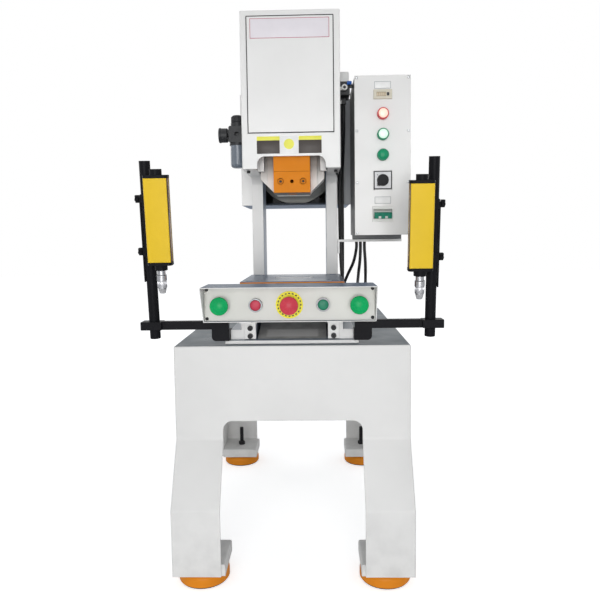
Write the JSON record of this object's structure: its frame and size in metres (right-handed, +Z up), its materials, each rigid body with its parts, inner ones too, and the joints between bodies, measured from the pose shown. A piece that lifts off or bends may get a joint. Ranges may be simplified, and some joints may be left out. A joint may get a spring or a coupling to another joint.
{
  "type": "pneumatic punch press",
  "caption": "Free-standing pneumatic C-frame punch press on a kick-leg stand, with two-hand control box, electrical cabinet, air service unit and light curtains.",
  "frame": {"origin": "floor level under the middle of the press's bounding box", "axes": "+Z up, -Y towards the operator, +X to the operator's right"},
  "size_m": [0.716, 0.925, 1.373],
  "materials": {
    "machine_paint": "satin powder coat",
    "orange_paint": "satin paint",
    "dark_grey_paint": "satin powder coat",
    "black_steel": "matt black",
    "zinc_steel": "zinc plated",
    "ground_steel": "ground bright",
    "aluminium": "anodised",
    "black_rubber": "matt",
    "black_plastic": "matt",
    "smoky_bowl": "clear smoky",
    "blue_hose": "satin",
    "green_plastic": "gloss",
    "dark_green_plastic": "gloss",
    "red_plastic": "gloss",
    "yellow_disc": "satin",
    "bezel_chrome": "polished",
    "beige_plastic": "satin",
    "white_plastic": "satin",
    "cable_black": "matt sheath",
    "curtain_yellow": "yellow paint"
  },
  "bodies": {
    "base": {"stand": "machine_paint", "mount_caps": "orange_paint", "mount_rubbers": "black_rubber", "levelling_bolts": "black_steel", "press_frame": "machine_paint", "bolster_plate": "ground_steel", "scrap_chute": "zinc_steel", "head_cover": "machine_paint", "front_panel": "machine_paint", "rear_cover": "machine_paint", "air_tank": "dark_grey_paint", "cylinder_barrel": "aluminium", "cylinder_caps": "aluminium", "tie_rods": "zinc_steel", "guide_block": "machine_paint", "gib_strips": "machine_paint", "solenoid_valve": "aluminium", "air_hose": "blue_hose", "regulator_body": "black_plastic", "filter_bowl": "smoky_bowl", "pressure_gauge": "black_plastic", "control_box": "machine_paint", "control_panel": "machine_paint", "control_box_brackets": "machine_paint", "estop_disc": "yellow_disc", "button_bodies": "bezel_chrome", "panel_screws": "zinc_steel", "socket_screws": "black_steel", "cabinet_body": "dark_grey_paint", "cabinet_door": "machine_paint", "cabinet_brackets": "machine_paint", "wiring_duct": "dark_grey_paint", "stroke_counter": "beige_plastic", "pilot_lamps": "green_plastic", "selector_plate": "aluminium", "breaker_body": "white_plastic", "control_cables": "cable_black", "trunk_cables": "cable_black", "curtain_arms": "black_steel", "curtain_posts": "black_steel"},
    "ram": {"ram": "orange_paint", "punch_clamp": "orange_paint", "clamp_screws": "black_steel", "piston": "aluminium", "piston_seals": "black_rubber", "piston_rod": "ground_steel"},
    "left_palm_button": {"left_palm_button": "green_plastic"},
    "right_palm_button": {"right_palm_button": "green_plastic"},
    "start_button": {"start_button": "dark_green_plastic"},
    "stop_button": {"stop_button": "red_plastic"},
    "estop_button": {"estop_button": "red_plastic"},
    "selector_knob": {"selector_knob": "black_plastic"},
    "breaker_toggle": {"breaker_toggle": "green_plastic"},
    "regulator_knob": {"regulator_knob": "black_plastic"},
    "left_curtain": {"left_curtain_housing": "curtain_yellow", "left_curtain_fittings": "black_plastic", "left_curtain_connector": "bezel_chrome"},
    "right_curtain": {"right_curtain_housing": "curtain_yellow", "right_curtain_fittings": "black_plastic", "right_curtain_connector": "bezel_chrome"}
  },
  "joints": [
    {"name": "ram_stroke", "type": "slide", "parent": "base", "child": "ram", "axis": [0, 0, -1], "range_m": [0, 0.07]},
    {"name": "left_palm_button_press", "type": "slide", "parent": "base", "child": "left_palm_button", "axis": [0, 1, 0], "range_m": [0, 0.006], "stiffness_N_per_m": 1200, "springref_m": -0.002},
    {"name": "right_palm_button_press", "type": "slide", "parent": "base", "child": "right_palm_button", "axis": [0, 1, 0], "range_m": [0, 0.006], "stiffness_N_per_m": 1200, "springref_m": -0.002},
    {"name": "start_button_press", "type": "slide", "parent": "base", "child": "start_button", "axis": [0, 1, 0], "range_m": [0, 0.004], "stiffness_N_per_m": 900, "springref_m": -0.002},
    {"name": "stop_button_press", "type": "slide", "parent": "base", "child": "stop_button", "axis": [0, 1, 0], "range_m": [0, 0.004], "stiffness_N_per_m": 900, "springref_m": -0.002},
    {"name": "estop_button_press", "type": "slide", "parent": "base", "child": "estop_button", "axis": [0, 1, 0], "range_m": [0, 0.005]},
    {"name": "selector_turn", "type": "hinge", "parent": "base", "child": "selector_knob", "pos_m": [0.237, -0.135, 0.955], "axis": [0, 1, 0], "range_deg": [0, 90]},
    {"name": "breaker_toggle_turn", "type": "hinge", "parent": "base", "child": "breaker_toggle", "pos_m": [0.237, -0.128, 0.867], "axis": [-1, 0, 0], "range_deg": [0, 30]},
    {"name": "regulator_turn", "type": "hinge", "parent": "base", "child": "regulator_knob", "pos_m": [-0.149, -0.08, 1.12], "axis": [0, 0, 1], "continuous": true},
    {"name": "left_curtain_height", "type": "slide", "parent": "base", "child": "left_curtain", "axis": [0, -0.1132, 0.9936], "range_m": [-0.06, 0.06]},
    {"name": "right_curtain_height", "type": "slide", "parent": "base", "child": "right_curtain", "axis": [0, -0.1132, 0.9936], "range_m": [-0.06, 0.06]}
  ]
}
